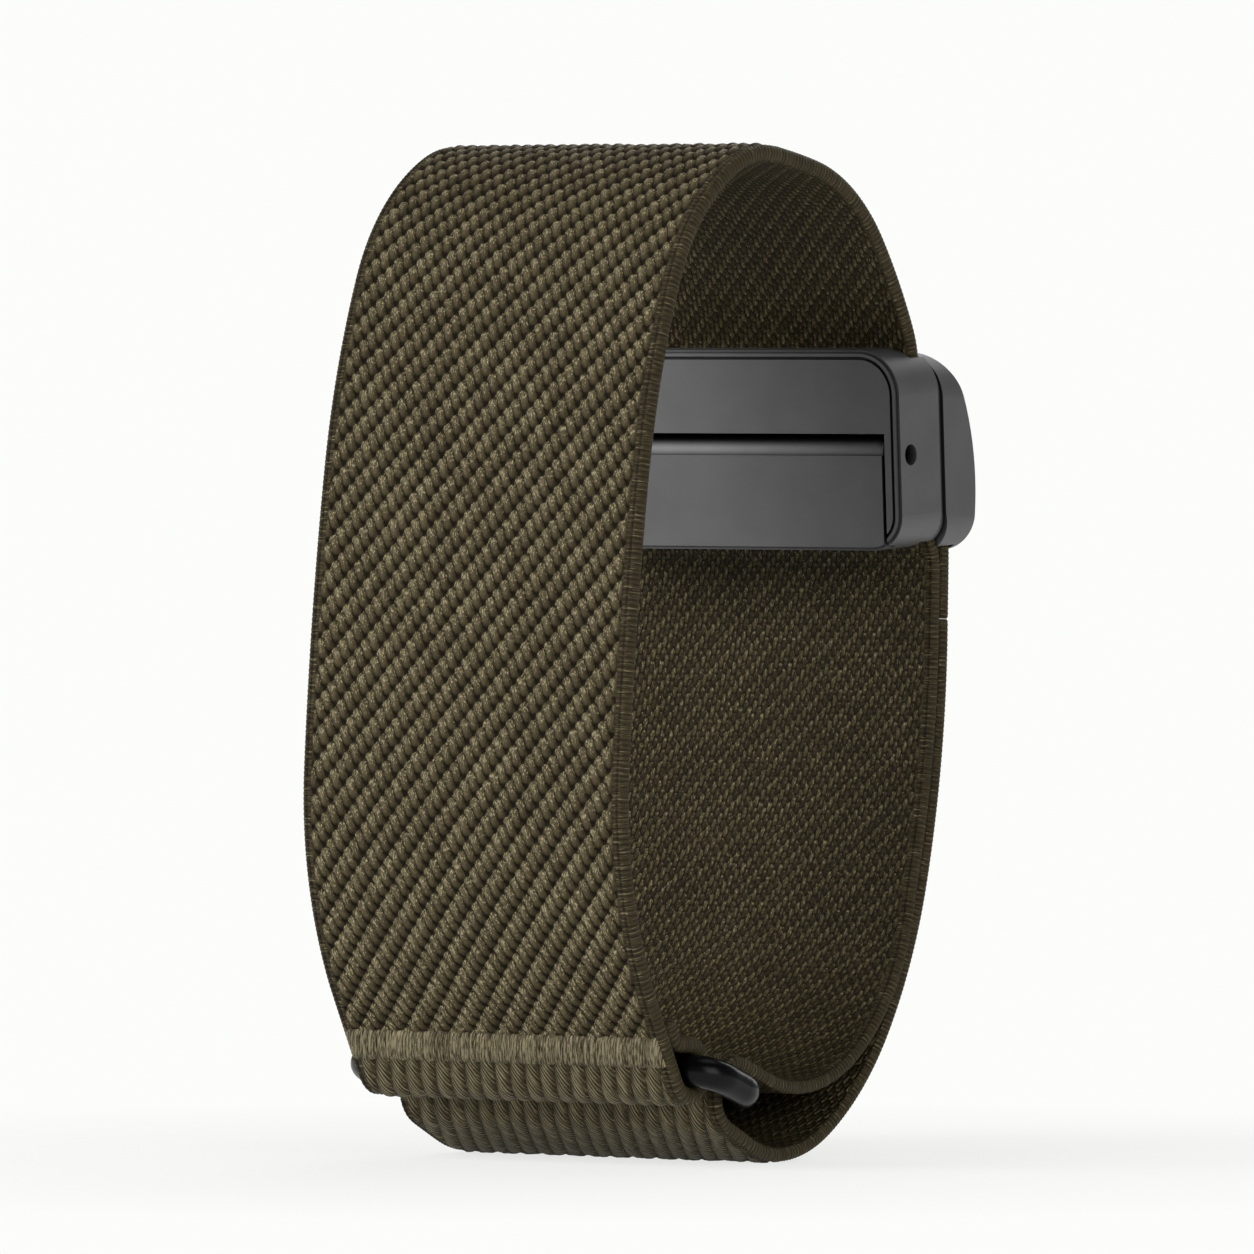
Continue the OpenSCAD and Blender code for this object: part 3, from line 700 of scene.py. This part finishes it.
Tail = namedtuple("Tail", "bar spread bend flex half")


def tail_frames(sizes):
    """Places of the tail: the spring bar's middle, the poses where the layers part, where the bow begins and
    of the flex line, and half the distance between the layers."""
    bar = in_clasp(*SPRING_BAR)
    spread = walk((bar, ARM_HEADING), ARM_LEAD)[1]
    bend = after(spread, (ARM_STRAIGHT, 0))
    return Tail(bar, spread, bend, after(bend, ARM_BOW), (sizes.tail_thickness + sizes.layer_gap) / 2)


def along_bow(tail, share):
    """Pose at a share of the arm's bow."""
    return after(tail.bend, (ARM_BOW[0] * share, ARM_BOW[1] * share))


def tail_line(sizes):
    """Tail strap: return, loop round the spring bar, inner layer, turn round the ring, outer run, free end.
    Returns the line, the flex line's pose, its place along the line and the two ends of the turn."""
    tail = tail_frames(sizes)
    t = sizes.tail_thickness
    inner_bend, inner_spread = beside(tail.bend, -tail.half), beside(tail.spread, -tail.half)
    outer_spread = beside(tail.spread, tail.half)
    loop = SPRING_BAR_RADIUS + t / 2
    out = touch(outer_spread[0], tail.bar, loop, 1)
    inward = touch(inner_spread[0], tail.bar, loop, -1)
    bow = [along_bow(tail, k / 60) for k in range(1, 61)]
    inner, inner_pose = walk(beside(tail.flex, -tail.half), INNER_STEPS)
    outer, outer_pose = walk(beside(tail.flex, tail.half), OUTER_STEPS)
    turn = sizes.wire / 2 + TURN_SLACK + t / 2
    centre = FRONT_BAR + (RING_SPAN + TURN_PAST) * towards(RING_SLOPE)
    turn_in = touch(inner_pose[0], centre, turn, 1)
    turn_out = touch(outer_pose[0], centre, turn, -1)
    points = [after(outer_spread, (RETURN_END, 0))[0], outer_spread[0]]
    points += round_bar(tail.bar, loop, angle_of(out[0] - tail.bar), angle_of(inward[0] - tail.bar))
    points += [inner_spread[0], inner_bend[0]] + [beside(pose, -tail.half)[0] for pose in bow]
    points += inner + [turn_in[0]]
    points += round_bar(centre, turn, angle_of(turn_in[0] - centre), angle_of(turn_out[0] - centre))
    points += outer[::-1] + [beside(pose, tail.half)[0] for pose in bow[::-1]]
    points += [after(outer_spread, (FREE_END, 0))[0]]
    line = Line(points)
    places = [line.nearest(point, line.length / 3) for point in (outer[0], turn_in[0], turn_out[0])]
    return line, tail.flex, places[0], places[1:]


class BAND_OT_main_strap(bpy.types.Operator):
    """Builds the main strap with its fold round the ring"""

    bl_idname = "band.main_strap"
    bl_label = "Main strap"

    def execute(self, context):
        sizes = settings()[0]
        line, fold_in = main_line(sizes)
        # The twill gives way to ribs under the satin-stitched bar
        change = line.nearest(fold_in[0]) - 2.2
        piece = webbing("main_strap_webbing", line, (0, line.length), sizes.webbing_thickness,
                        lambda s: ease(s, change - 0.2, change + 0.2), lambda s: 0 * s)
        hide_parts("main_strap")
        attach(piece, "main_band")
        return {"FINISHED"}


class BAND_OT_tail_strap(bpy.types.Operator):
    """Builds the tail strap: sewn loop, inner layer, turn round the ring, outer run and free end"""

    bl_idname = "band.tail_strap"
    bl_label = "Tail strap"

    def execute(self, context):
        sizes = settings()[0]
        line, flex, flex_s, (turn_in, turn_out) = tail_line(sizes)

        def ribbed(s):
            """Share of ribs: the webbing is ribbed round the ring."""
            return ease(s, turn_in - 1.5, turn_in - 0.5) * (1 - ease(s, turn_out + 4, turn_out + 5))

        def plainer(s):
            """Share of the plainer twill: it shows up to the ribs."""
            return 1 - ease(s, turn_in - 1.5, turn_in - 0.5)

        # Piece, span of the line, open end, nodes, bodies, and the blend's reach from the flex line
        parts = (
            ("tail_webbing", (0, flex_s), ["end"], ["tail_strap_lower", "tail_strap_upper"],
             ("main_band", "lower_arm"), (5, 0)),
            ("tail_free_end", (flex_s, line.length), ["start"], ["tail_strap_end"],
             ("lower_arm", "tail_end"), (0, -5)),
        )
        for name, span, open_ends, nodes, bodies, reach in parts:
            piece = webbing(name, line, span, sizes.tail_thickness, ribbed, plainer, open_ends)
            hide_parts(*nodes)
            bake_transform(piece)
        return {"FINISHED"}


def patch(name, side):
    """Soft pile of the hook and loop fastener between the tail's layers, on the free end (side 1) or on the
    inner layer (side -1)."""
    sizes = settings()[0]
    start = along_bow(tail_frames(sizes), PATCH_START)
    line = Line(walk(start, [(PATCH_SHARE * ARM_BOW[0], PATCH_SHARE * ARM_BOW[1])])[0])
    s = np.linspace(0, line.length, int(line.length / 0.09))
    centre, normal = line.at(s)
    half = sizes.webbing_width / 2 - PATCH_INSET
    face = np.linspace(half, -half, int(half / 0.045))
    x = np.concatenate([face, face[::-12]])[None, :]
    top = np.concatenate([np.ones(face.size), np.zeros(face[::-12].size)])[None, :]
    along = s[:, None]
    # Tufts stand in rows 0.36 mm apart, coarser than real ones so that they show
    wavy = x + 0.1 * np.sin(9 * along)
    tuft = np.abs(np.cos(np.pi * wavy / TUFT_PITCH) * np.cos(np.pi * along / TUFT_PITCH))
    tuft = tuft * (0.6 + 0.4 * random_of(np.floor(x / TUFT_PITCH + 0.5), np.floor(along / TUFT_PITCH + 0.5)))
    rim = np.minimum(np.minimum(half - np.abs(x), along), line.length - along)
    # Distances from the middle between the layers: the patch is sunk in its layer, and its tufts nearly meet
    low, high = 0.02 + 0.2, 0.02 + 0.04 * (1 - tuft)
    out = side * np.where(top * (rim > 0.03) > 0, high, low)
    points = np.stack([x * np.ones_like(out), centre[:, 0:1] + normal[:, 0:1] * out,
                       centre[:, 1:2] + normal[:, 1:2] * out], -1)
    if side > 0:
        points = points[::-1]
        along = along[::-1]
    return grid_piece(name, points * MM, True, {"place": (x, along, tuft)},
                      shared(pile, "hook and loop pile", "#1c1a15"))


def stitch_bar(name, pose, face, size, pitch, slant):
    """Raised bar of threads on a face of the webbing. Its size is width along the strap, height, length."""
    point, heading = pose
    width, height, length = size
    across = np.linspace(length / 2, -length / 2, int(length / pitch * 6) + 1)[:, None]
    around = np.radians(np.linspace(0, 180, 17))[None, :]
    along = -np.cos(around) * width / 2
    phase = (across + slant * along) / pitch
    thread = np.sqrt(np.abs(np.sin(np.pi * phase)))
    strand = np.floor(phase)
    ends = np.clip((length / 2 - np.abs(across)) / 0.25, 0, 1) ** 0.5
    rise = np.sin(around) ** 0.7 * height
    lift = rise * (0.75 + 0.25 * thread) * (0.92 + 0.16 * random_of(strand, 2)) * ends - 0.03
    place = along * (1 + 0.08 * (random_of(strand, 9) - 0.5))
    forward, out = towards(heading), left_of(heading)
    base = point + face * out
    lift = lift * math.copysign(1, face)
    points = np.stack([across * np.ones_like(lift), base[0] + forward[0] * place + out[0] * lift,
                       base[1] + forward[1] * place + out[1] * lift], -1)
    if face > 0:
        points = points[::-1]
    # The third value of place is the height round the bar, which the thread's painted shading reads
    return grid_piece(name, points * MM, False, {"place": (across, along, np.sin(around))},
                      thread_material(pitch, slant))


class BAND_OT_stitching(bpy.types.Operator):
    """Builds the satin-stitched bar over the fold and the two stitch rows of the tail"""

    bl_idname = "band.stitching"
    bl_label = "Stitching"

    def execute(self, context):
        sizes = settings()[0]
        fold_in = main_line(sizes)[1]
        tail = tail_frames(sizes)
        face = tail.half + sizes.tail_thickness / 2
        # Piece, node, body, pose, offset of the face, size, distance between the threads, and their slant
        rows = (
            ("satin_stitch_bar", "main_strap_bar_stitch", "main_band", after(fold_in, (-2.35, 0)),
             -sizes.webbing_thickness / 2, (1.95, 0.35, 21.4), 0.2, 0.3),
            ("loop_stitch_row", "tail_strap_stitch", "lower_arm", after(tail.spread, (2.6, 0)),
             face, (0.5, 0.16, 21), 0.5, 0.5),
            ("tail_end_stitch_row", "tail_end_stitch", "tail_end", after(tail.spread, (4.1, 0)),
             face, (0.5, 0.16, 21), 0.5, 0.5),
        )
        for name, node, body, pose, offset, size, pitch, slant in rows:
            piece = stitch_bar(name, pose, offset, size, pitch, slant)
            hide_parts(node)
            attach(piece, body)
        return {"FINISHED"}


class BAND_OT_patches(bpy.types.Operator):
    """Builds the hook patch and the loop patch between the tail's layers"""

    bl_idname = "band.patches"
    bl_label = "Hook and loop patches"

    def execute(self, context):
        for name, node, side, body in (("hook_pile", "hook_patch", 1, "tail_end"),
                                       ("loop_pile", "loop_patch", -1, "lower_arm")):
            piece = patch(name, side)
            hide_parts(node)
            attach(piece, body)
        return {"FINISHED"}


class BAND_OT_clasp(bpy.types.Operator):
    """Finishes the clasp: satin black metal with fine rounded edges"""

    bl_idname = "band.clasp"
    bl_label = "Clasp"

    def execute(self, context):
        names = ("clasp_base", "base_back_plate", "clamp_flap", "cover_shell", "cover_liner")
        colour = settings()[1].metal
        coat(names, coated_steel("satin black coated steel", colour, 0.5, 0.25, 0.45))
        for name in names:
            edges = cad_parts[name].modifiers.new("fine rounded edges", "BEVEL")
            edges.width = 0.12 * MM
            edges.segments = 3
            edges.limit_method = "ANGLE"
            edges.angle_limit = math.radians(40)
            edges.harden_normals = True
        return {"FINISHED"}


class BAND_OT_ring(bpy.types.Operator):
    """Finishes the wire ring in gloss black"""

    bl_idname = "band.ring"
    bl_label = "Ring"

    def execute(self, context):
        # Thick glossy lacquer gives the wire clear highlights
        colour = settings()[1].ring
        coat(["adjuster_ring"], coated_steel("gloss black coated steel wire", colour, 0.25, 0.05, 0.0, 0.16))
        return {"FINISHED"}


class BAND_OT_hardware(bpy.types.Operator):
    """Finishes the magnets, keeper plate and spring bar in bare metal, and the hinge pin in near black as
    painted shade of its hole
    """

    bl_idname = "band.hardware"
    bl_label = "Inner hardware"

    def execute(self, context):
        names = list(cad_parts)
        # Bare steel is a plain mid grey with a soft shine
        coat([name for name in names if name.startswith(("base_keeper", "spring_bar"))],
             coated_steel("turned bare steel", "#8d8d90", 0.35, 0.1))
        # Nickel plate is warmer, brighter and smoother
        coat([name for name in names if "magnet" in name],
             coated_steel("nickel-plated magnet", "#a5a29a", 0.25, 0.05))
        # Painted shade: the pin is painted almost black and hardly shines, so that its end looks like the
        # shade of a dark hole
        coat(["flap_pin"], coated_steel("near-black steel pin with painted hole shade", "#060606", 0.7, 0.2, 0.0, 0.04))
        return {"FINISHED"}


class BAND_OT_stage(bpy.types.Operator):
    """Sets the pale floor, the soft studio lamps and the camera at the photograph's angle"""

    bl_idname = "band.stage"
    bl_label = "Stage"

    azimuth: bpy.props.FloatProperty(
        name="Azimuth", description="Camera's turn round the band", subtype="ANGLE", default=math.radians(34))
    elevation: bpy.props.FloatProperty(
        name="Elevation", description="Camera's height angle", subtype="ANGLE", default=math.radians(1.135))

    def execute(self, context):
        scene = context.scene
        self.floor(scene, CAD_BOX[0][2] - 0.05 * MM)
        self.studio(scene)
        self.camera(scene)
        return {"FINISHED"}

    @staticmethod
    def seen_by(tree, *kinds):
        """Whether a ray is of one of some kinds, such as a camera ray."""
        rays = tree.nodes.new("ShaderNodeLightPath").outputs
        seen = rays[kinds[0]]
        for kind in kinds[1:]:
            seen = add(tree, "Math", {0: seen, 1: rays[kind]}, operation="MAXIMUM")
        return seen

    def floor(self, scene, floor_z):
        """White studio paper: it is plain white to the camera and to gloss, and still holds a soft shadow."""
        size = 2.0
        mesh = bpy.data.meshes.new("floor")
        mesh.from_pydata([(-size, -size, floor_z), (size, -size, floor_z), (size, size, floor_z),
                          (-size, size, floor_z)], [], [(0, 1, 2, 3)])
        floor = bpy.data.objects.new("floor", mesh)
        scene.collection.objects.link(floor)
        material, tree, shader = new_material("white studio paper", Roughness=0.9, Specular_IOR_Level=0.1)
        shader.inputs["Base Color"].default_value = srgb("#f4f4f2")
        seen = self.seen_by(tree, "Is Camera Ray", "Is Glossy Ray", "Is Transmission Ray")
        # The shadow shows near the band and fades to plain white within 70 mm
        far = add(tree, "VectorMath", {0: add(tree, "NewGeometry")}, out=1, operation="LENGTH")
        far = add(tree, "MapRange", {0: far, 1: 0.03, 2: 0.07, 3: 0.75, 4: 1.0})
        share = add(tree, "Math", {0: seen, 1: far}, operation="MULTIPLY")
        white = add(tree, "Emission", {"Color": srgb("#fcfdfb"), "Strength": 1.0})
        mixed = add(tree, "MixShader", {0: share, 1: shader.outputs[0], 2: white})
        tree.links.new(mixed, tree.nodes["Material Output"].inputs["Surface"])
        mesh.materials.append(material)

    def studio(self, scene):
        """Pale walls, plain white to the camera, and four square soft lamps that point at the band."""
        world = bpy.data.worlds.new("studio")
        scene.world = world
        world.use_nodes = True
        tree = world.node_tree
        tree.nodes.clear()
        seen = self.seen_by(tree, "Is Camera Ray", "Is Transmission Ray")
        # The walls of the studio are paler than its ceiling
        rise = add(tree, "SeparateXYZ", {0: add(tree, "TexCoord", out=0)}, out=2)
        level = add(tree, "MapRange", {0: rise, 1: 0.0, 2: 0.8, 3: 0.27, 4: 0.03})
        plain = add(tree, "Background", {"Color": srgb("#fcfdfb"), "Strength": level})
        white = add(tree, "Background", {"Color": srgb("#fcfdfb"), "Strength": 1.0})
        mixed = add(tree, "MixShader", {0: seen, 1: plain, 2: white})
        output = tree.nodes.new("ShaderNodeOutputWorld")
        tree.links.new(mixed, output.inputs["Surface"])
        for name, place, size, power in (
                ("key_lamp", (-0.35, -0.45, 0.3), 0.35, 3.0),
                ("fill_lamp", (0.5, -0.3, 0.2), 0.4, 1.5),
                ("back_lamp", (-0.15, 0.5, 0.25), 0.45, 1.6),
                ("top_lamp", (0.05, 0.1, 0.6), 0.4, 0.4)):
            lamp = bpy.data.lights.new(name, "AREA")
            lamp.shape = "SQUARE"
            lamp.size = size
            lamp.energy = power
            item = bpy.data.objects.new(name, lamp)
            item.location = place
            item.rotation_euler = (-Vector(place)).to_track_quat("-Z", "Y").to_euler()
            scene.collection.objects.link(item)

    def camera(self, scene):
        """Camera with a long lens, far enough away for the photograph's weak perspective."""
        distance, right_shift, up_shift = 0.88, 0.000086, 0.0016
        level, rise = math.cos(self.elevation), math.sin(self.elevation)
        back = Vector((math.sin(self.azimuth) * level, -math.cos(self.azimuth) * level, rise))
        right = Vector((math.cos(self.azimuth), math.sin(self.azimuth), 0))
        aim = right * right_shift + back.cross(right) * up_shift
        data = bpy.data.cameras.new("camera")
        data.lens = 442.1
        data.sensor_width = 36
        data.clip_start = 0.01
        camera = bpy.data.objects.new("camera", data)
        camera.location = aim + back * distance
        camera.rotation_euler = back.to_track_quat("Z", "Y").to_euler()
        scene.collection.objects.link(camera)
        scene.camera = camera
        scene.view_settings.view_transform = "Standard"


class BAND_PT_panel(bpy.types.Panel):
    """Lists the band's building steps"""

    bl_idname = "BAND_PT_panel"
    bl_label = "Magnetic watch band"
    bl_space_type = "VIEW_3D"
    bl_region_type = "UI"
    bl_category = "Band"

    def draw(self, context):
        for group in (context.scene.band_sizes, context.scene.band_colours):
            for name in type(group).__annotations__:
                self.layout.prop(group, name)
        for step in STEPS:
            self.layout.operator(step.bl_idname)


STEPS = (BAND_OT_main_strap, BAND_OT_tail_strap, BAND_OT_stitching, BAND_OT_patches, BAND_OT_clasp,
         BAND_OT_ring, BAND_OT_hardware, BAND_OT_stage)
CLASSES = (BandSizes, BandColours) + STEPS + (BAND_PT_panel,)


def register():
    """Adds the add-on's classes and its settings to the scene."""
    for item in CLASSES:
        bpy.utils.register_class(item)
    bpy.types.Scene.band_sizes = bpy.props.PointerProperty(type=BandSizes)
    bpy.types.Scene.band_colours = bpy.props.PointerProperty(type=BandColours)


def unregister():
    """Takes the add-on's settings and classes away again."""
    del bpy.types.Scene.band_colours
    del bpy.types.Scene.band_sizes
    for item in reversed(CLASSES):
        bpy.utils.unregister_class(item)


def main():
    """Builds the whole band step by step."""
    register()
    for step in STEPS:
        getattr(bpy.ops.band, step.bl_idname.split(".")[1])()


if __name__ == "__main__":
    main()
